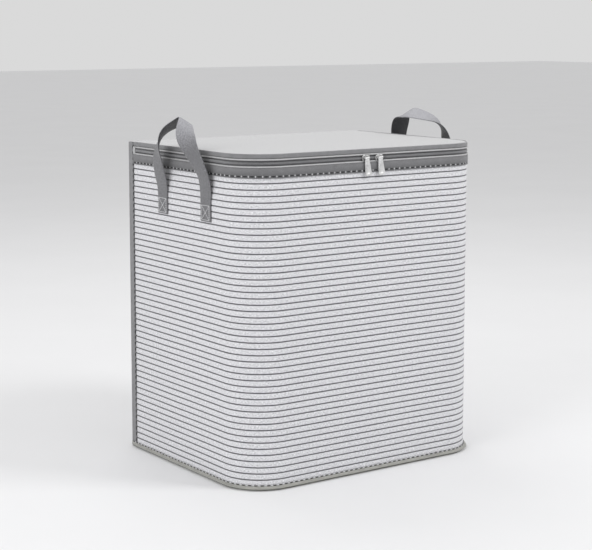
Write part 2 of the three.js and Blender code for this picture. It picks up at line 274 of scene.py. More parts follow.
def nylon(name, low, high):
    """Moulded nylon of the zip's teeth."""
    look = Look(name, roughness=0.42)
    fine = look.noise(look.place(), (2 * MM, 2 * MM, 2 * MM))
    return look.finished(look.shade(fine, low, high, 2), fine, 0.05 * MM, 0.4)


def thread(name, low, high):
    """Twisted sewing thread."""
    look = Look(name, roughness=0.65)
    along, across = look.cloth()[1:]
    twist = look.wave(look.plus(along, across), 0.7 * MM)
    return look.finished(look.shade(look.remap(twist, -1, 1), low, high, 2),
                         look.remap(twist, -1, 1), 0.08 * MM, 0.8)


def nonwoven():
    """Spun lining embossed with a grid of small dots."""
    look = Look("nonwoven_lining", roughness=0.85, sheen=0.1)
    place, along, across = look.cloth()
    dots = look.times(look.wave(along, 2.6 * MM), look.wave(across, 2.6 * MM))
    dots = look.remap(look.math("ABSOLUTE", dots), 0.55, 0.9, smooth=True)
    fibres = look.noise(place, (5 * MM, 1.2 * MM, 1), detail=5)
    base = look.shade(look.remap(fibres, 0.3, 0.7), 206, 228, 2)
    height = look.minus(look.times(fibres, 0.5), dots)
    return look.finished(look.mix(look.times(dots, 0.45), base, level(184, 2)), height, 0.15 * MM, 0.8)


def greyboard():
    """Pressed board with loose fibres and flecks."""
    look = Look("greyboard", roughness=0.85)
    place = look.place()
    fibres = look.noise(place, (6 * MM, 1.5 * MM, 3 * MM), detail=5)
    flecks = look.remap(look.noise(place, (1.6 * MM, 1.6 * MM, 1.6 * MM)), 0.62, 0.72, smooth=True)
    board = look.mix(fibres, [0.36, 0.32, 0.26, 1], [0.56, 0.52, 0.44, 1])
    return look.finished(look.mix(look.times(flecks, 0.5), board, [0.2, 0.18, 0.15, 1]),
                         fibres, 0.2 * MM, 0.6)


def cast_metal(name, low, high, rough):
    """Plated zinc with a faint orange-peel and worn patches."""
    look = Look(name, roughness=rough, metallic=1.0)
    place = look.place()
    fine = look.noise(place, (0.8 * MM, 0.8 * MM, 0.8 * MM), detail=3)
    worn = look.noise(place, (5 * MM, 5 * MM, 5 * MM), detail=4)
    look.drive("Roughness", look.remap(worn, 0.3, 0.7, rough - 0.06, rough + 0.1))
    return look.finished(look.shade(look.remap(worn, 0.3, 0.7), low, high), fine, 0.04 * MM, 0.5)


def pale_floor():
    look = Look("pale_floor", roughness=0.9)
    fine = look.noise(look.place(), (0.4, 0.4, 0.4), detail=3)
    look.drive("Base Color", look.shade(fine, 232, 237, 1))
    return look.material


STRIPED = striped_cloth("striped_cloth")
UNDERSIDE = striped_cloth("plain_cloth", striped=False)
LID_CLOTH = lid_cloth()
GREY_TAPE = ribbed_tape("grey_tape", 96, 156)
# The band tape darkens towards its lower stitch line: painted shade of the puckered seam.
BAND_TAPE = ribbed_tape("band_tape", 88, 146, seam=(BAND_LOW + 2.5 * MM, BAND_HIGH - 3 * MM))
# The corner tape darkens towards its edges: painted shadow where the striped cloth meets the binding.
CORNER_TAPE = ribbed_tape("corner_tape", 100, 158, seam=(0.5 * MM, 4.5 * MM))
BASE_TAPE = ribbed_tape("base_tape", 130, 184, cool=-5)
ZIP_TAPE = ribbed_tape("zip_tape", 78, 112)
WEBBING = webbing()
PIPING = piping_cloth()
NYLON = nylon("zip_coil", 136, 164)
DARK_THREAD = thread("dark_thread", 16, 36)
LIGHT_THREAD = thread("light_thread", 196, 226)
LINING = nonwoven()
BOARD = greyboard()
METAL = cast_metal("plated_metal", 154, 206, 0.3)
PULL_METAL = cast_metal("satin_metal", 206, 228, 0.55)


# ---- Shapes ----

def stacked(*parts):
    """Joins coordinates into points; the parts broadcast."""
    return np.stack(np.broadcast_arrays(*parts), -1)


def unit(directions):
    return directions / np.linalg.norm(directions, axis=-1)[..., None]


def travelled(points):
    """Distance along a line of points, from its first."""
    return np.concatenate([[0], np.cumsum(np.linalg.norm(np.diff(points, axis=0), axis=1))])


def ramp(value, reach):
    """Rises from 0 to 1 over this reach, and stays there."""
    return np.clip(value / reach, 0, 1)


def circle(count):
    return np.linspace(0, 2 * math.pi, count, endpoint=False)


def squared(wave, power):
    """A sine or cosine drawn towards a square wave as the power falls below 1."""
    return np.sign(wave) * np.abs(wave) ** power


def along_wall(s):
    """Places and outward directions at distances s round the walls, from the rear left edge."""
    s = np.asarray(s, float)
    mirrored = s > WALL_LENGTH / 2
    d = np.where(mirrored, WALL_LENGTH - s, s)
    angle = np.clip((d - SIDE) / CORNER_R, 0, math.pi / 2)
    turn = np.where(mirrored, -1.0, 1.0)
    x = -HALF + CORNER_R * (1 - np.cos(angle)) + np.maximum(d - SIDE - ARC, 0)
    y = REAR - np.minimum(d, SIDE) - CORNER_R * np.sin(angle)
    return turn * x, y, -turn * np.cos(angle), -np.sin(angle)


def columns(start, straight, bend):
    """Distances round the wall from start to its mirror image, closer together in the round corners."""
    half = np.concatenate([
        np.linspace(start, SIDE, max(2, round((SIDE - start) / straight)), endpoint=False),
        np.linspace(SIDE, SIDE + ARC, max(2, round(ARC / bend)), endpoint=False),
        np.linspace(SIDE + ARC, WALL_LENGTH / 2, max(2, round((HALF - CORNER_R) / straight)),
                    endpoint=False),
    ])
    return np.concatenate([half, [WALL_LENGTH / 2], WALL_LENGTH - half[::-1]])


def on_wall(s, out, z):
    """Points at distance s round the walls, out from them and at height z; the three broadcast."""
    x, y, nx, ny = along_wall(s)
    return stacked(x + out * nx, y + out * ny, z)


def on_back(x, out, z):
    """Points on the back panel at x, out from it and at height z; the three broadcast."""
    return stacked(x, REAR + out, z)


def ripple(u, v, length, seed):
    """Smooth irregular waves, about -1 to 1, with this wavelength."""
    draw = np.random.default_rng(seed)
    total = 0
    count = 7
    for _ in range(count):
        heading, phase = draw.uniform(0, 2 * math.pi, 2)
        reach = length * draw.uniform(0.7, 1.6)
        distance = u * math.cos(heading) + v * math.sin(heading)
        total = total + np.sin(distance * 2 * math.pi / reach + phase)
    return total / math.sqrt(2 * count)


def placed(name, data, place=(0, 0, 0), turn=(0, 0, 0)):
    """A mesh, camera or light, put in the scene."""
    made = bpy.data.objects.new(name, data)
    made.location = place
    made.rotation_euler = turn
    bpy.context.scene.collection.objects.link(made)
    return made


def piece(name, points, faces, material, cloth):
    """A smooth-shaded mesh whose vertices keep their place on the cloth, and 1 on its reverse side."""
    mesh = bpy.data.meshes.new(name)
    mesh.from_pydata(np.asarray(points, float).reshape(-1, 3).tolist(), [], faces)
    mesh.materials.append(material)
    cloth = np.asarray(cloth, float)
    flat = np.zeros((len(mesh.vertices), 3), np.float32)
    flat[:, :cloth.shape[-1]] = cloth.reshape(-1, cloth.shape[-1])
    mesh.attributes.new("cloth", "FLOAT_VECTOR", "POINT").data.foreach_set("vector", flat.ravel())
    mesh.shade_smooth()
    return placed(name, mesh)


def grid_faces(rows, cols, joined_rows=False, joined_cols=False):
    """Quads over a grid of points numbered row by row."""
    r = np.arange(rows if joined_rows else rows - 1)[:, None]
    c = np.arange(cols if joined_cols else cols - 1)[None, :]
    r_next, c_next = (r + 1) % rows, (c + 1) % cols
    quads = stacked(r * cols + c, r * cols + c_next, r_next * cols + c_next, r_next * cols + c)
    return quads.reshape(-1, 4).tolist()


def caps(rings, around):
    """End faces of a skin with this many rings."""
    return [list(range(around))[::-1], list(range((rings - 1) * around, rings * around))]


def sheet(name, points, cloth, material, thickness):
    """Cloth over a grid of points; the far side is thickness behind the side the columns and rows face."""
    rows, cols = points.shape[:2]
    made = piece(name, points, grid_faces(rows, cols), material, cloth)
    solid = made.modifiers.new("thickness", "SOLIDIFY")
    solid.thickness = thickness
    solid.offset = -1
    return made


def loft(name, rings, cloth, material, joined=False):
    """A closed skin through rings of points, capped at both ends or joined end to start."""
    count, around = rings.shape[:2]
    points = rings.reshape(-1, 3)
    faces = grid_faces(count, around, joined_rows=joined, joined_cols=True)
    if not joined:
        faces += caps(count, around)
    middle = points.mean(0)
    a, b, c, d = (points - middle)[np.array(faces[:count * around - around])].transpose(1, 0, 2)
    if np.sum(a * (np.cross(b, c) + np.cross(c, d))) < 0:
        faces = [face[::-1] for face in faces]
    return piece(name, points, faces, material, cloth)


def tape_outline(width, thickness, face_steps):
    """Cross-section of a tape with rounded edges: closed [across, through] points about its centre."""
    r = thickness / 2
    face = np.linspace(r - width / 2, width / 2 - r, face_steps)
    turn = np.linspace(math.pi / 2, -math.pi / 2, 5)[1:-1]
    front = stacked(face, r)
    edge = stacked(width / 2 - r + r * np.cos(turn), r * np.sin(turn))
    return np.concatenate([front, edge, -front, -edge])


def wall_tape(name, s, low, high, inner, thickness, material, relief=None, face_steps=7):
    """Tape lying on the wall from height low to high; relief moves its outer face, by s and height."""
    outline = tape_outline(high - low, thickness, face_steps)
    across, through = outline[:, 0], outline[:, 1]
    z = np.broadcast_to((low + high) / 2 + across, (len(s), len(across)))
    out = np.broadcast_to(inner + thickness / 2 + through, z.shape).copy()
    if relief is not None:
        out[:, through > 0] += relief(s[:, None], z[:, through > 0])
    cloth = stacked(np.broadcast_to(s[:, None], z.shape), z)
    return loft(name, on_wall(s[:, None], out, z), cloth, material)


def bars(name, points, cloth, material):
    """Many small capped bars in one mesh: points by bar, by ring along it and by place round the ring."""
    count, rings, around = points.shape[:3]
    one = grid_faces(rings, around, joined_cols=True) + caps(rings, around)
    faces = [[corner + rings * around * i for corner in face] for i in range(count) for face in one]
    return piece(name, points, faces, material, np.broadcast_to(cloth, points.shape[:3] + (2,)))


def stitches(name, slot, centres, along, outward, length, radius, material, bow=0.6, flat=1.0, body="bin"):
    """A row of stitches: short bowed threads whose ends dip into the cloth."""
    centres = np.asarray(centres, float)
    along, outward = (unit(np.broadcast_to(v, centres.shape)) for v in (along, outward))
    across = np.cross(along, outward)
    t = np.array([-1.0, -0.8, -0.4, 0.0, 0.4, 0.8, 1.0])
    thick = radius * np.sqrt(np.maximum(1 - (0.97 * t) ** 4, 0.02))
    lift = radius * flat * bow * (1 - 1.8 * t ** 2)
    turn = circle(6)
    spine = centres[:, None] + (t * length / 2)[None, :, None] * along[:, None] \
        + lift[None, :, None] * outward[:, None]
    ring = np.cos(turn)[:, None, None] * across[None] + flat * np.sin(turn)[:, None, None] * outward[None]
    points = spine[:, :, None] + thick[None, :, None, None] * ring.transpose(1, 0, 2)[:, None]
    cloth = stacked((t * length / 2)[:, None], turn * radius)
    return belongs(bars(name, points, cloth, material), body, slot)


def wall_stitches(name, slot, s, out, z, length, radius, material, upright=False):
    """Stitches along the wall at distances s, or standing up across that line."""
    nx, ny = along_wall(s)[2:]
    along = [0, 0, 1.0] if upright else stacked(-ny, nx, 0)
    outward = stacked(nx, ny, 0)
    return stitches(name, slot, on_wall(s, out, z), along, outward, length, radius, material, flat=0.6)


def belongs(made, body, slot, *replaced):
    """Ties a piece to its body and hides the CAD nodes that it stands for; slot, its finish, is not used."""
    if body:
        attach(made, body)
    if replaced:
        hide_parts(*replaced)
    return made


# ---- Covers and linings ----

CLOTH = 0.4 * MM
STRIPE_SINK = 0.15 * MM
BAND_CROWN = 0.3 * MM
COVER_BASE = -0.35 * MM


def stripe_rows(high):
    """Heights of the mesh rows: closer together at each stripe, where the cloth dips."""
    offsets = np.array([-1.5, -1.0, 0.0, 1.0, 1.5, 3.2, 5.0, 6.8]) * MM
    first = math.ceil((high - STRIPE_TOP) / STRIPE_PITCH)
    centres = STRIPE_TOP + STRIPE_PITCH * np.arange(first, first - 60, -1)
    rows = np.unique(np.round((centres[:, None] + offsets).ravel(), 7))
    rows = rows[(rows > FOOT + 0.5 * MM) & (rows < high - 0.5 * MM)]
    return np.concatenate([[FOOT], rows, [high]])


def cover_relief(u, z, high, seed):
    """How far the striped cloth stands out: sunk at the stripes, crowned between, softly uneven."""
    turns = (z - STRIPE_TOP) / STRIPE_PITCH
    offset = np.abs(turns - np.round(turns)) * STRIPE_PITCH
    crown = BAND_CROWN * (1 - ((STRIPE_PITCH / 2 - offset) / (STRIPE_PITCH / 2 - STRIPE_HALF)) ** 2)
    relief = np.where(offset > STRIPE_HALF, crown, -STRIPE_SINK)
    amount = ramp(np.minimum(z - FOOT, high - z), 30 * MM)
    return COVER_BASE + relief + 0.28 * MM * ripple(u, z, 95 * MM, seed) * amount


def add_striped_cover(panel, across, high, seed, place):
    along, height = np.meshgrid(across, stripe_rows(high))
    out = cover_relief(along, height, high, seed)
    made = sheet(f"{panel}_cover", place(along, out, height), stacked(along, height), STRIPED, CLOTH)
    return belongs(made, "bin", "striped_fabric", f"{panel}_fabric")


def footprint(inset, rear, step):
    """Rows over the plan of the bin, moved in by inset: y, and the half width there."""
    radius = CORNER_R - inset
    front = FRONT + inset
    turn = np.linspace(0, math.pi / 2, 15)
    y_arc = front + radius * (1 - np.cos(turn))
    half_arc = HALF - inset - radius + radius * np.sin(turn)
    y_rest = np.linspace(front + radius, rear, max(2, round((rear - front - radius) / step)))[1:]
    y = np.concatenate([y_arc, y_rest])
    half = np.concatenate([half_arc, np.full_like(y_rest, HALF - inset)])
    return y, half


EDGE_STEPS = np.array([0, 1.5, 3.5, 7]) * MM


def plan_grid(inset, rear, step):
    """A grid of x, y over the plan of the bin, with extra lines close to its edge."""
    y, half = footprint(inset, rear, step)
    keep = y < y[-1] - EDGE_STEPS[-1] - 1 * MM
    y_all = np.concatenate([y[keep], y[-1] - EDGE_STEPS[::-1]])
    half_all = np.interp(y_all, y, half)
    middle = np.linspace(-1, 1, round(2 * HALF / step))
    x = np.stack([np.concatenate([EDGE_STEPS - h, (h - EDGE_STEPS[-1]) * middle[1:-1], h - EDGE_STEPS[::-1]])
                  for h in half_all])
    return x, np.broadcast_to(y_all[:, None], x.shape)


def edge_distance(x, y, rear):
    """How far inside the outline of the plan a point lies."""
    dx, dy = HALF - np.abs(x), y - FRONT
    round_corner = CORNER_R - np.hypot(CORNER_R - dx, CORNER_R - dy)
    wall = np.where((dx < CORNER_R) & (dy < CORNER_R), round_corner, np.minimum(dx, dy))
    return np.minimum(wall, rear - y)


def inset_plan(high):
    """A grid over the plan, inset to this corner, and how far inside its edge each point lies."""
    inset = HALF - high.x
    x, y = plan_grid(inset, high.y, 14 * MM)
    return x, y, np.clip(edge_distance(x, y, REAR) - inset, 0, 1)


def add_lid_cover():
    x, y, inside = inset_plan(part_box("lid_fabric")[1])
    rolled = 0.7 * MM * np.exp(-inside / (1.6 * MM))
    away = ramp(inside, 40 * MM)
    z = TOP - rolled + away * (0.5 * MM + 0.5 * MM * ripple(x, y, 120 * MM, 21))
    made = sheet("lid_cover", stacked(x, y, z), stacked(x, y), LID_CLOTH, 0.7 * MM)
    return belongs(made, "lid", "lid_fabric", "lid_fabric")


def add_base_cover():
    low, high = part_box("base_fabric")
    x, y = plan_grid(0, high.y, 20 * MM)
    x = x[:, ::-1]
    z = np.full_like(x, low.z)
    made = sheet("base_cover", stacked(x, y, z), stacked(x, y), UNDERSIDE, CLOTH)
    return belongs(made, "bin", "striped_fabric", "base_fabric")


LINING_CLOTH = 0.3 * MM
SLACK = 1.4 * MM
LOOSE = 1.5 * MM


def add_wall_lining():
    low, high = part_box("wall_lining")
    tape_out = -(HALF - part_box("zip_tape_lower")[1].x)
    s = columns(REAR - high.y, 11 * MM, 6 * MM)
    z = np.concatenate([np.linspace(low.z, high.z - 12 * MM, 44),
                        high.z - np.array([8, 5, 3, 1.5, 0.5]) * MM])
    along, height = np.meshgrid(s, z)
    slack = ramp(np.minimum(height - low.z, high.z - 14 * MM - height), 60 * MM)
    lining_out = -(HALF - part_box("wall_lining")[1].x)
    depth = lining_out - 0.15 * MM - SLACK * slack * (1 + ripple(along, height * 0.6, 130 * MM, 31)) / 2
    turn_out = ramp(height - (high.z - 9 * MM), 8.5 * MM) ** 1.6
    depth = depth + (tape_out - 0.9 * MM - lining_out) * turn_out
    points = on_wall(along, depth, height)[:, ::-1]
    cloth = stacked(along, height)[:, ::-1]
    made = sheet("wall_lining_cloth", points, cloth, LINING, LINING_CLOTH)
    return belongs(made, "bin", "lining", "wall_lining")


def add_back_lining():
    low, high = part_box("back_lining")
    x = np.linspace(low.x, high.x, 46)
    z = np.concatenate([np.linspace(low.z, high.z - 4 * MM, 46),
                        high.z + np.array([-2, -0.5, 1, 2.5]) * MM])
    across, height = np.meshgrid(x, z)
    inside = np.minimum(np.minimum(height - low.z, high.z - 10 * MM - height), high.x - np.abs(across))
    slack = ramp(inside, 60 * MM)
    y = high.y - SLACK * slack * (1 + ripple(across, height * 0.6, 130 * MM, 32)) / 2
    turned = ramp(height - (high.z - 3 * MM), 5.5 * MM) ** 1.4
    y = y + (REAR - 1.3 * MM - high.y) * turned
    made = sheet("back_lining_cloth", stacked(across, y, height), stacked(across, height),
                 LINING, LINING_CLOTH)
    return belongs(made, "bin", "lining", "back_lining")


def add_flat_lining(node, body, facing_up, seed):
    """A lining over the base or under the lid, loose in the middle."""
    low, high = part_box(node)
    x, y, inside = inset_plan(high)
    loose = ramp(inside, 50 * MM) * LOOSE * (1 + ripple(x, y, 140 * MM, seed)) / 2
    z = high.z + loose if facing_up else low.z - loose
    points, cloth = stacked(x, y, z), stacked(x, y)
    if not facing_up:
        points, cloth = points[:, ::-1], cloth[:, ::-1]
    return belongs(sheet(f"{node}_cloth", points, cloth, LINING, LINING_CLOTH), body, "lining", node)


# ---- Tapes, bindings and piping ----

STITCH_PITCH = 11 * MM
DASH = 7.2 * MM
THREAD = 0.45 * MM
FOOT_STITCH = 10 * MM
FOOT_DASH = 5.8 * MM
FOOT_THICK = 1.0 * MM
FOOT_EDGE = 3.9 * MM
BAND_THICK = 1.2 * MM
PIPING_SEED = 17
ZIP_TAPE_THICK = 0.7 * MM
CORNER_OUT = 1.1 * MM
HINGE_THICK = 0.6 * MM
HINGE_BEND = 1.3 * MM


def add_top_band():
    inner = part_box("top_band")[1].x - HALF - BAND_THICK
    line = BAND_LOW + 3.0 * MM

    def relief(s, z):
        swell = 0.35 * MM * np.sin(np.pi * ramp(z - line, BAND_HIGH - line))
        lip = 0.45 * MM * np.exp(-((z - BAND_LOW) / (1.5 * MM)) ** 2)
        drawn = 0.55 * MM * (0.65 + 0.35 * np.cos(2 * math.pi * s / STITCH_PITCH))
        pucker = drawn * np.exp(-((z - line) / (1.6 * MM)) ** 2)
        return swell + lip - pucker + 0.12 * MM * ripple(s, z, 24 * MM, 41)

    s = np.linspace(TRIM_START, WALL_LENGTH - TRIM_START, 640)
    band = wall_tape("band_tape", s, BAND_LOW, BAND_HIGH, inner, BAND_THICK, BAND_TAPE, relief, 15)
    belongs(band, "bin", "grey_tape", "top_band")
    holes = np.arange(TRIM_START + STITCH_PITCH, WALL_LENGTH - TRIM_START - STITCH_PITCH / 2, STITCH_PITCH)
    out = inner + BAND_THICK - 0.28 * MM
    dashes = wall_stitches("band_stitches", "grey_tape", holes - STITCH_PITCH / 2, out, line, DASH,
                           THREAD * 2, DARK_THREAD)
    ticks = wall_stitches("band_ties", "grey_tape", holes, out, line, 3.6 * MM, THREAD * 1.6,
                          LIGHT_THREAD, upright=True)
    return [band, dashes, ticks]


def add_piping(node, body):
    low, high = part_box(node)
    radius = (high.z - low.z) / 2
    centre_z = (high.z + low.z) / 2
    centre_out = high.x - HALF - radius
    start = ZIP_START + GAP
    s = np.linspace(start, WALL_LENGTH - start, 420)
    turn = circle(14)
    tight = radius * (1 + 0.05 * ripple(s[:, None], turn * radius, 9 * MM, PIPING_SEED))
    out = centre_out + tight * np.cos(turn)
    z = centre_z + tight * np.sin(turn)
    cloth = stacked(s[:, None], turn * radius)
    made = loft(f"{node}_cord", on_wall(s[:, None], out, z), cloth, PIPING)
    return belongs(made, body, "piping", node)


def add_zip_tape(node, body):
    low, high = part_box(node)
    inner = high.x - HALF - ZIP_TAPE_THICK
    s = columns(TRIM_START, 8 * MM, 4 * MM)
    made = wall_tape(f"{node}_weave", s, low.z, high.z, inner, ZIP_TAPE_THICK, ZIP_TAPE)
    return belongs(made, body, "zip_fabric", node)


TOOTH_PITCH = 1.6 * MM
TOOTH_WIDTH = 0.62 * MM
FIRST_TOOTH = 0.4 * MM


def add_teeth(half, body, upward, shift):
    """One side of the coil: rounded teeth that reach just past the middle of the zip."""
    node = f"zip_coil_{half}"
    low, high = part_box(node)
    root = low.z if upward < 0 else high.z
    head = ZIP_Z - upward * 0.55 * MM
    front, back = high.x - HALF, -0.9 * MM
    s = np.arange(ZIP_START + shift, WALL_LENGTH - ZIP_START, TOOTH_PITCH)
    turn = circle(10)
    places = np.array([-0.5, -0.3, 0.3, 0.5]) * TOOTH_WIDTH
    shrink = np.array([0.8, 1.0, 1.0, 0.8])[:, None]
    z = (root + head) / 2 + abs(head - root) / 2 * squared(np.cos(turn), 0.7) * shrink
    out = (front + back) / 2 + (front - back) / 2 * squared(np.sin(turn), 0.7) * shrink
    along = s[:, None, None] + places[None, :, None]
    points = on_wall(along, out[None], z[None])
    made = bars(f"zip_teeth_{half}", points, stacked(along, z[None]), NYLON)
    return belongs(made, body, "zip_coil", node)


def add_zip_end(side):
    """The folded patch that closes the end of the zip, next to the corner binding."""
    name = SIDE_NAMES[side]
    node = f"zip_end_{name}"
    low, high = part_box(node)
    y_mid, half_y = (low.y + high.y) / 2, (high.y - low.y) / 2
    z_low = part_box("piping_lower")[0].z
    z_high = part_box("piping_upper")[1].z
    z_mid, half_z = (z_low + z_high) / 2, (z_high - z_low) / 2
    turn = circle(32)
    shape_y, shape_z = squared(np.cos(turn), 0.35), squared(np.sin(turn), 0.35)
    steps = [(-0.8, 0.94), (0.6, 0.97), (1.3, 1.0), (1.7, 0.97), (1.95, 0.86), (2.0, 0.5)]
    out, scale = np.array(steps).T[..., None]
    rings = stacked(side * (HALF + out * MM), y_mid + half_y * scale * shape_y,
                    z_mid + half_z * scale * shape_z)
    made = loft(f"zip_end_patch_{name}", rings, rings[..., 1:], PIPING)
    return belongs(made, "bin", "piping", node)


def add_foot_binding():
    """The bound seam round the foot: flared at the floor, flat at the back, with stitches on top."""
    s = columns(0, 5 * MM, 3 * MM)
    x, y, nx, ny = along_wall(s)
    back_x = np.linspace(HALF, -HALF, 96)[1:-1]
    x, y = np.append(x, back_x), np.append(y, np.full_like(back_x, REAR))
    nx, ny = np.append(nx, 0 * back_x), np.append(ny, 0 * back_x + 1)
    ny[[0, len(s) - 1]] = 1
    run = np.append(s, WALL_LENGTH + HALF - back_x)
    flare = ramp(np.minimum(run, WALL_LENGTH - run), 18 * MM)[:, None]
    t = np.linspace(0, 1, 9)
    seat = GAP + FOOT_THICK
    rise = BINDING_TOP - 0.4 * MM
    outer = stacked((BINDING_FLARE - seat) * t ** 2.2, rise - (rise - FOOT_EDGE) * t)
    lip = np.array([[BINDING_FLARE - seat - 0.4 * MM, FOOT_EDGE - 0.5 * MM],
                    [0.0, FOOT_EDGE - 0.6 * MM]])
    spread = np.concatenate([outer, lip])
    rest = np.array([[seat - 0.5 * MM, GAP], [GAP, GAP], [GAP, rise], [GAP + 0.5 * MM, BINDING_TOP]])
    out = np.concatenate([seat + flare * spread[:, 0], np.broadcast_to(rest[:, 0], (len(x), len(rest)))], 1)
    z = np.broadcast_to(np.concatenate([spread[:, 1], rest[:, 1]]), out.shape)
    uneven = 0.25 * MM * ripple(run[:, None], z, 26 * MM, 51) * flare
    out[:, 2:len(outer)] += uneven[:, 2:len(outer)]
    rings = stacked(x[:, None] + out * nx[:, None], y[:, None] + out * ny[:, None], z)
    cloth = stacked(np.broadcast_to(run[:, None], z.shape), out + z)
    binding = loft("foot_binding", rings, cloth, BASE_TAPE, joined=True)
    belongs(binding, "bin", "base_tape", "base_binding")
    line = BINDING_TOP - 0.1 * MM
    face = seat + 0.05 * MM
    at = np.arange(6 * MM, WALL_LENGTH - 3 * MM, FOOT_STITCH)
    front = wall_stitches("foot_stitches", "base_tape", at, face, line, FOOT_DASH, THREAD * 1.7, DARK_THREAD)
    ties = wall_stitches("foot_ties", "base_tape", at[:-1] + FOOT_STITCH / 2, face, line,
                         FOOT_STITCH - FOOT_DASH, THREAD * 1.9, LIGHT_THREAD)
    x_back = np.arange(-HALF + 8 * MM, HALF - 5 * MM, FOOT_STITCH)
    rear = stitches("foot_stitches_back", "base_tape", on_back(x_back, face, line), [1, 0, 0], [0, 1, 0],
                    FOOT_DASH, THREAD * 1.7, DARK_THREAD, flat=0.6)
    return [binding, front, ties, rear]


def corner_path(side, out, width):
    """Plan of the tape folded round a rear corner, out from the cloth: side edge to back edge."""
    bend = np.linspace(0, math.pi / 2, 6)
    reach = np.array([1.0, 0.86, 0.7, 0.5, 0.25, 0.08])
    x_side = np.full_like(reach, HALF + out)
    y_side = REAR - width * reach
    x_bend, y_bend = HALF + out * np.cos(bend), REAR + out * np.sin(bend)
    x_back = HALF - width * reach[::-1]
    y_back = np.full_like(reach, REAR + out)
    x, y = np.concatenate([x_side, x_bend, x_back]), np.concatenate([y_side, y_bend, y_back])
    return stacked(side * x, y)


def add_corner_binding(side):
    name = SIDE_NAMES[side]
    node = f"back_binding_{name}"
    low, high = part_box(node)
    width = REAR - low.y
    z = np.linspace(low.z, high.z, 240)
    outer, inner = corner_path(side, CORNER_OUT, width), corner_path(side, GAP, width)
    tip = 0.35 * MM
    outer[0, 1] += tip
    outer[-1, 0] += side * tip
    plan = np.concatenate([outer, inner[::-1]])
    rings = stacked(*plan.T, z[:, None])
    count = len(outer)
    travel = travelled(plan)
    from_edge = np.minimum(travel, np.abs(travel[count - 1] - travel))
    for line, axis, sign in ((1, 0, side), (count - 2, 1, 1)):
        dimple = 0.3 * MM * (0.6 + 0.4 * np.cos(2 * math.pi * z / STRIPE_PITCH))
        rings[:, line, axis] -= sign * dimple
    wave = 0.35 * MM * ripple(z, 0 * z, 40 * MM, 61 + side)
    rings[:, [0, 1, -1, -2], 1] += wave[:, None]
    tape = loft(f"corner_binding_{name}", rings, stacked(z[:, None], from_edge), CORNER_TAPE)
    belongs(tape, "bin", "grey_tape", node)
    # Dark stitches along the binding's inner edges, one per stripe: partly real stitching, partly painted
    # shadow, since they are enlarged and darkened to stand in for the shadow notches where the stripes meet
    # the binding.
    at = np.arange(low.z + 5 * MM, high.z - 4 * MM, STRIPE_PITCH)
    inset = 0.08 * width
    sunk = CORNER_OUT - 0.1 * MM
    on_side = stacked(side * (HALF + sunk), REAR - width + inset, at)
    on_back = stacked(side * (HALF - width + inset), REAR + sunk, at)
    centres = np.concatenate([on_side, on_back])
    outward = np.repeat([[side, 0, 0], [0, 1.0, 0]], len(at), axis=0)
    sewn = stitches(f"corner_stitches_and_shadow_{name}", "grey_tape", centres, [0, 0, 1], outward, 6.4 * MM,
                    THREAD * 2.8, DARK_THREAD, flat=0.4)
    return [tape, sewn]


def add_lid_rim():
    low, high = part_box("lid_rim")

    def relief(s, z):
        swell = 0.5 * MM * np.sin(np.pi * ramp(z - low.z, high.z - low.z))
        return swell + 0.1 * MM * ripple(s, z, 22 * MM, 71)

    s = np.linspace(TRIM_START, WALL_LENGTH - TRIM_START, 420)
    rim = wall_tape("lid_rim_tape", s, low.z, high.z, -0.9 * MM, BAND_THICK, GREY_TAPE, relief, 9)
    belongs(rim, "lid", "grey_tape", "lid_rim")
    at = np.arange(TRIM_START + 2 * MM, WALL_LENGTH - TRIM_START, 3.4 * MM)
    nx, ny = along_wall(at)[2:]
    centres = on_wall(at, -0.25 * MM, TOP - 0.25 * MM)
    seam = stitches("lid_overlock", "lid_fabric", centres, stacked(nx, ny, -1.1), stacked(nx, ny, 0.9),
                    2.4 * MM, 0.32 * MM, LIGHT_THREAD, bow=1.0, body="lid")
    return [rim, seam]


def add_hinge_strip():
    """A strip of the lid's cloth, sewn to the back and bent over the rear edge."""
    low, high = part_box("hinge_tape")
    out = REAR + GAP + HINGE_THICK / 2
    over = TOP + 0.1 * MM
    turn = np.linspace(0, math.pi / 2, 7)
    rise = np.linspace(low.z, over - HINGE_BEND, 10)
    y = np.concatenate([np.full_like(rise, out), out - HINGE_BEND * (1 - np.cos(turn)[1:]),
                        out - HINGE_BEND - np.array([1.0, 2.2, 3.4]) * MM])
    z = np.concatenate([rise, over - HINGE_BEND * (1 - np.sin(turn)[1:]),
                        over - np.array([0.0, 0.1, 0.3]) * MM])
    spine = stacked(y, z)
    ahead = unit(np.gradient(spine, axis=0))
    through = stacked(ahead[:, 1], -ahead[:, 0]) * HINGE_THICK / 2
    section = np.concatenate([spine + through, (spine - through)[::-1]])
    x = np.linspace(low.x, high.x, 110)
    rings = stacked(x[:, None], *section.T)
    rings[..., 2] += 0.06 * MM * ripple(x[:, None], 0 * section[:, 0], 20 * MM, 81)
    strip = loft("hinge_strip", rings, stacked(x[:, None], travelled(section)), LID_CLOTH)
    belongs(strip, None, "lid_fabric", "hinge_tape")
    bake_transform(strip)
    at = np.arange(low.x + 5 * MM, high.x - 3 * MM, 5 * MM)
    centres = stacked(at, REAR + GAP + HINGE_THICK, low.z + 2.5 * MM)
    sewn = stitches("hinge_stitches", "lid_fabric", centres, [1, 0, 0], [0, 1, 0], 3.8 * MM, THREAD,
                    LIGHT_THREAD)
    return [strip, sewn]


# ---- Handles ----

WEB_WIDTH = 30 * MM
WEB_THICK = 2 * MM
TAB_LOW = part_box("handle_left_tab_rear")[0].z
TAB_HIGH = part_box("handle_left_tab_rear")[1].z
STRAP_OUT = HALF + GAP + WEB_THICK / 2

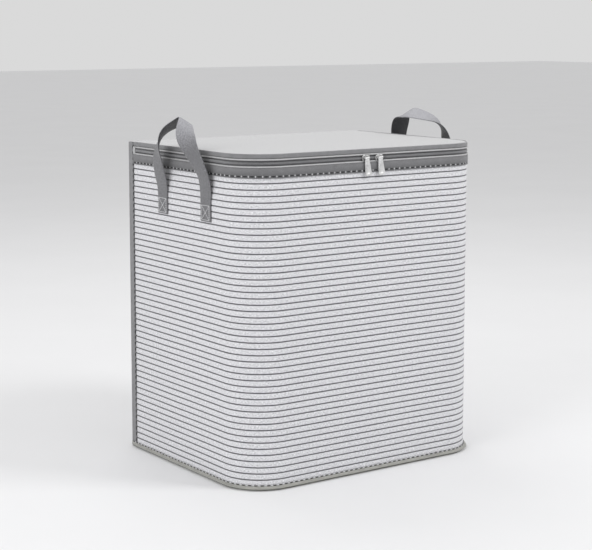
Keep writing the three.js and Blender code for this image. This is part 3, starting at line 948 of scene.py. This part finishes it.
# Path of each free loop, rear end to front end: distance out from the centre plane, y and z in
# millimetres, then how far the webbing has turned and how far its inner edge dips, in degrees.
# The rows between the ends are the rounded result of a curve fit, not a choice by hand.
LOOP_LEFT = [
    [241.8, 69, 448.3, 0, 0], [254, 58, 487, 5, 16], [265, 46, 525, 15, 27], [266, 24, 555, 29, 23],
    [261, -6, 573, 44, 22], [257, -31, 578, 72, 24], [267, -45, 564, 116, 19], [265, -59, 532, 159, 11],
    [253, -74, 493, 176, 1], [241.8, -64, 448.3, 180, 0],
]
LOOP_RIGHT = [
    [241.8, 69, 448.3, 0, 0], [259, 70, 491, 7, 15], [259, 68, 537, 28, 26], [258, 50, 569, 65, 33],
    [258, 15, 571, 105, 27], [266, -24, 560, 142, 15], [267, -53, 531, 169, 12], [261, -62, 489, 172, 6],
    [241.8, -64, 448.3, 180, 0],
]


def spline(knots, values, start, end, at):
    """Smooth curve through values at knots, with these slopes at its ends, read at these places."""
    count, gaps = len(knots), np.diff(knots)
    system, right = np.eye(count), np.array(values, float)
    right[0], right[-1] = start, end
    for i in range(1, count - 1):
        before, after = gaps[i - 1], gaps[i]
        system[i, i - 1:i + 2] = after, 2 * (before + after), before
        rise_before = (values[i] - values[i - 1]) / before
        rise_after = (values[i + 1] - values[i]) / after
        right[i] = 3 * (after * rise_before + before * rise_after)
    slopes = np.linalg.solve(system, right)
    k = np.clip(np.searchsorted(knots, at, side="right") - 1, 0, count - 2)
    h = gaps[k][:, None]
    t = (at - knots[k])[:, None] / h
    return ((2 * t ** 3 - 3 * t ** 2 + 1) * values[k] + (t ** 3 - 2 * t ** 2 + t) * h * slopes[k]
            + (3 * t ** 2 - 2 * t ** 3) * values[k + 1] + (t ** 3 - t ** 2) * h * slopes[k + 1])


def strap_frame(side, loop, step):
    """Centre line of a whole strap, tab to tab, with its across and outward directions."""
    loop = np.array(loop, float)
    knots_at = loop[:, :3] * MM * [side, 1, 1]
    knots = travelled(knots_at)
    at = np.linspace(0, knots[-1], round(knots[-1] / step))
    centre = spline(knots, knots_at, [0, 0, 1], [0, 0, -1], at)
    turn, dip = np.radians(spline(knots, loop[:, 3:], [0, 0], [0, 0], at)).T
    tab = np.arange(TAB_LOW, knots_at[0, 2] - step / 2, step)
    first = stacked(*knots_at[0, :2], tab)
    last = stacked(*knots_at[-1, :2], tab[::-1])
    centre = np.concatenate([first, centre, last])
    turn = np.concatenate([0 * tab, turn, 0 * tab + math.pi])
    dip = np.concatenate([0 * tab, dip, 0 * tab])
    ahead = unit(np.gradient(centre, axis=0))
    across = stacked(-side * np.sin(turn) * np.cos(dip), np.cos(turn) * np.cos(dip), -np.sin(dip))
    across -= np.einsum("ij,ij->i", across, ahead)[:, None] * ahead
    across = unit(across)
    outward = -side * np.cross(ahead, across)
    return centre, across, outward


def add_handle(side):
    name = SIDE_NAMES[side]
    centre, across, outward = strap_frame(side, LOOP_LEFT if side < 0 else LOOP_RIGHT, 2.4 * MM)
    outline = tape_outline(WEB_WIDTH, WEB_THICK, 11)
    run = travelled(centre)
    u, v = outline[:, 0], outline[:, 1]
    free = np.clip(np.minimum(run, run[-1] - run) / (60 * MM) - 0.5, 0, 1)[:, None]
    cup = -0.9 * MM * free * (np.abs(u) / (WEB_WIDTH / 2)) ** 2
    rings = centre[:, None] + u[None, :, None] * across[:, None] \
        + (v[None, :] + cup)[..., None] * outward[:, None]
    # Marks the strap's reverse face, which the webbing material darkens as painted shade.
    reverse = (v < -0.3 * WEB_THICK).astype(float)
    cloth = stacked(run[:, None], u + 3 * v, reverse)
    strap = loft(f"handle_strap_{name}", rings, cloth, WEBBING)
    belongs(strap, None, "webbing", f"handle_{name}_tab_rear", f"handle_{name}_tab_front",
            f"handle_{name}_loop")
    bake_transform(strap)
    face = side * (STRAP_OUT + WEB_THICK / 2 - 0.05 * MM)
    edge = 11.6 * MM
    z_mid = (TAB_LOW + TAB_HIGH) / 2
    corners = [(-edge, -edge), (edge, -edge), (edge, edge), (-edge, edge)]
    runs = [(corners[i], corners[(i + 1) % 4]) for i in range(4)]
    runs += [(corners[0], corners[2]), (corners[1], corners[3])]
    places, headings = [], []
    for y_tab in (centre[0, 1], centre[-1, 1]):
        for a, b in runs:
            a, b = np.array(a), np.array(b)
            count = round(np.linalg.norm(b - a) / (3.3 * MM))
            for k in range(count):
                y, z = a + (b - a) * (k + 0.5) / count
                places.append([face, y_tab + y, z_mid + z])
                headings.append([0, *(b - a)])
    stitches(f"handle_stitches_{name}", "webbing", places, headings, [side, 0, 0], 2.9 * MM, 0.55 * MM,
             LIGHT_THREAD)


# ---- Sliders and pulls ----

PIVOT_OUT = 4.6 * MM
SLIDER_HALF = 8.3 * MM
PULL_LENGTH = 29 * MM
PULL_HALF = 6.6 * MM
PULL_NECK = 4.2 * MM
PULL_THICK = 0.6 * MM
PULL_LEAN = math.radians(8)


def slider_x(side):
    low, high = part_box(f"slider_{side}")
    return (low.x + high.x) / 2


def on_front(points, x):
    """Points given as along, out and up from a slider's middle, moved to the front of the bin."""
    points = np.asarray(points, float)
    return stacked(x + points[..., 0], FRONT - points[..., 1], ZIP_Z + points[..., 2])


def tube(spine, radius, sides=10):
    """Rings of a round bar along a path in the along-out plane."""
    spine = np.asarray(spine, float)
    ahead = unit(np.gradient(spine, axis=0))
    normal = stacked(-ahead[:, 1], ahead[:, 0])
    turn = circle(sides)
    flat = spine[:, None] + radius * np.cos(turn)[None, :, None] * normal[:, None]
    return stacked(flat[..., 0], flat[..., 1], radius * np.sin(turn))


def join(name, parts, node):
    """Joins meshes into one metal piece with this name, which stands for this node."""
    bpy.ops.object.select_all(action="DESELECT")
    for part in parts:
        part.select_set(True)
    bpy.context.view_layer.objects.active = parts[0]
    bpy.ops.object.join()
    parts[0].name = name
    belongs(parts[0], node, "metal", node)


def add_slider(side):
    """A shield-shaped front plate with turned-in flanges, and the bridge that carries the pull."""
    x = slider_x(side)
    direction = 1 if side == "left" else -1
    t = np.linspace(-1, 1, 25)
    height = (4.7 - 0.6 * np.clip(t * direction, 0, 1)) * MM * np.maximum(1 - np.abs(t) ** 7, 0.02) ** 0.5
    profile = np.array([[2.0, -1.0], [2.3, -1.03], [2.55, -0.85], [2.6, -0.5], [2.5, 0], [2.6, 0.5],
                        [2.55, 0.85], [2.3, 1.03], [2.0, 1.0], [1.95, 0.86], [1.5, 0.78], [1.4, 0.4],
                        [1.4, 0], [1.4, -0.4], [1.5, -0.78], [1.95, -0.86]])
    rings = stacked((t * SLIDER_HALF)[:, None], profile[:, 0] * MM, height[:, None] * profile[:, 1])
    plate = loft("plate", on_front(rings, x), rings[..., ::2], METAL)
    leg = np.array([[5.2, 1.8], [5.2, 3.0], [5.0, 3.9], [4.4, 4.45], [3.4, 4.6]])
    path = np.concatenate([leg * [-1, 1], [[0, 4.62]], leg[::-1]]) * MM
    bridge = tube(path, 0.72 * MM)
    arch = loft("arch", on_front(bridge, x), bridge[..., ::2], METAL)
    join(f"slider_body_{side}", [plate, arch], f"slider_{side}")


def resample(outline, count):
    """Points evenly spaced round a closed outline."""
    closed = np.concatenate([outline, outline[:1]])
    travel = travelled(closed)
    at = np.linspace(0, travel[-1], count, endpoint=False)
    return stacked(*(np.interp(at, travel, values) for values in closed.T))


def rounded(half_width, low, high, radius):
    """Outline of an upright rounded rectangle, from the middle of its top edge, clockwise."""
    points = [[0, high]]
    x, top, bottom = half_width - radius, high - radius, low + radius
    for cx, cz, start in ((x, top, 90), (x, bottom, 0), (-x, bottom, -90), (-x, top, -180)):
        for angle in np.radians(np.linspace(start, start - 90, 7)):
            points.append([cx + radius * math.cos(angle), cz + radius * math.sin(angle)])
    return np.array(points)


def add_pull(side):
    """A flat tab with soft edges and a sunk panel, rolled round the slider's bridge."""
    x = slider_x(side)
    half, thick = PULL_HALF, PULL_THICK
    count = 72
    body = rounded(half, -PULL_LENGTH, -1.2 * MM, 3.4 * MM)
    pinch = ramp(body[:, 1] + 8 * MM, 4 * MM)
    body[:, 0] = np.sign(body[:, 0]) * np.minimum(np.abs(body[:, 0]), half - (half - PULL_NECK) * pinch)
    edge = resample(body, count)
    middle = np.array([0, (edge[:, 1].min() + edge[:, 1].max()) / 2])
    panel = resample(rounded(4.0 * MM, -PULL_LENGTH + 3.6 * MM, -12 * MM, 3.0 * MM), count)

    def drawn(outline, inset):
        scale = 1 - inset / np.array([half, PULL_LENGTH / 2])
        return middle + (outline - middle) * scale

    soft = 0.35 * MM
    layers = [(drawn(edge, soft), -thick), (drawn(edge, soft * 0.3), -thick * 0.8), (edge, -thick * 0.3),
              (edge, thick * 0.3), (drawn(edge, soft * 0.3), thick * 0.8), (drawn(edge, soft), thick),
              (drawn(panel, -0.35 * MM), thick), (drawn(panel, -0.1 * MM), thick - 0.12 * MM),
              (panel, thick - 0.2 * MM)]
    rings = np.stack([stacked(outline[:, 0], depth, outline[:, 1]) for outline, depth in layers])
    turn = circle(20)
    eye = [(1.0, -1), (1.05, -1.06), (1.7, -1.06), (1.8, -0.96),
           (1.8, 0.96), (1.7, 1.06), (1.05, 1.06), (1.0, 1)]
    radius, reach = np.array(eye).T[..., None]
    eye_rings = stacked(reach * PULL_NECK, radius * MM * np.cos(turn), radius * MM * np.sin(turn))
    spin = np.array([[math.cos(PULL_LEAN), 0, -math.sin(PULL_LEAN)], [0, 1, 0],
                     [math.sin(PULL_LEAN), 0, math.cos(PULL_LEAN)]])
    shift = [0, PIVOT_OUT, 0]
    tab = loft("tab", on_front(rings @ spin.T + shift, x), rings[..., ::2], PULL_METAL)
    ring = loft("eye", on_front(eye_rings @ spin.T + shift, x), eye_rings[..., ::2], PULL_METAL,
                joined=True)
    join(f"pull_tab_{side}", [tab, ring], f"pull_{side}")


# ---- Stage ----

# The camera's lens in millimetres, its place, and how far it looks down and round to the right
LENS = 95.35
CAMERA_PLACE = (-1.5552, -2.1635, 0.7332)
CAMERA_DOWN = 0.1224
CAMERA_ROUND = 0.6169


def add_camera():
    data = bpy.data.cameras.new("camera")
    data.sensor_width = 36
    data.lens = LENS
    data.shift_y = -0.1
    turn = (math.pi / 2 - CAMERA_DOWN, 0, -CAMERA_ROUND)
    bpy.context.scene.camera = placed("camera", data, CAMERA_PLACE, turn)


def add_area_light(name, place, target, size, power):
    data = bpy.data.lights.new(name, "AREA")
    data.size = size
    data.energy = power
    x, y, z = np.array(target) - np.array(place)
    placed(name, data, place, (math.atan2(math.hypot(x, y), -z), 0, math.atan2(y, x) - math.pi / 2))


def add_stage():
    size = 20
    corners = [[-size, -size, 0], [size, -size, 0], [size, size, 0], [-size, size, 0]]
    floor = piece("floor", corners, [[0, 1, 2, 3]], pale_floor(), np.zeros((4, 2)))
    world = bpy.data.worlds.new("studio")
    world.use_nodes = True
    world.node_tree.nodes["Background"].inputs["Color"].default_value = (1, 1, 1, 1)
    world.node_tree.nodes["Background"].inputs["Strength"].default_value = 0.7
    bpy.context.scene.world = world
    middle = (0, 0, TOP / 2)
    add_area_light("key", (1.7, -2.1, 2.6), middle, 1.1, 40)
    add_area_light("left_fill", (-3.0, -0.6, 1.6), middle, 2.0, 32)
    add_area_light("top", (0.2, 1.6, 2.8), middle, 1.6, 14)
    bpy.context.scene.view_settings.view_transform = "Standard"


# ---- The bin ----

add_camera()
add_stage()

wall_columns = columns(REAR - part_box("wall_fabric")[1].y, 12 * MM, 4.5 * MM)
wall_cover = add_striped_cover("wall", wall_columns, BAND_HIGH, 11, on_wall)
back_cover = add_striped_cover("back", np.linspace(HALF, -HALF, 44), BACK_TOP, 12, on_back)
base_cover = add_base_cover()
lid_cover = add_lid_cover()
wall_lining = add_wall_lining()
back_lining = add_back_lining()
base_lining = add_flat_lining("base_lining", "bin", True, 33)
lid_lining = add_flat_lining("lid_lining", "lid", False, 34)

band = add_top_band()
foot = add_foot_binding()
corners = add_corner_binding(-1) + add_corner_binding(1)
hinge = add_hinge_strip()
rim = add_lid_rim()
piping_lower, piping_upper = add_piping("piping_lower", "bin"), add_piping("piping_upper", "lid")
tape_lower, tape_upper = add_zip_tape("zip_tape_lower", "bin"), add_zip_tape("zip_tape_upper", "lid")
add_teeth("lower", "bin", -1, FIRST_TOOTH)
add_teeth("upper", "lid", 1, FIRST_TOOTH + TOOTH_PITCH / 2)
ends = [add_zip_end(-1), add_zip_end(1)]
for handle_side in (-1, 1):
    add_handle(handle_side)
for slider_side in ("left", "right"):
    add_slider(slider_side)
    add_pull(slider_side)

for board in ("base_stiffener", "wall_stiffener", "back_stiffener", "lid_stiffener"):
    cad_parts[board].material_slots[0].material = BOARD
for plate in ("slider_left_back", "slider_right_back"):
    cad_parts[plate].material_slots[0].material = METAL
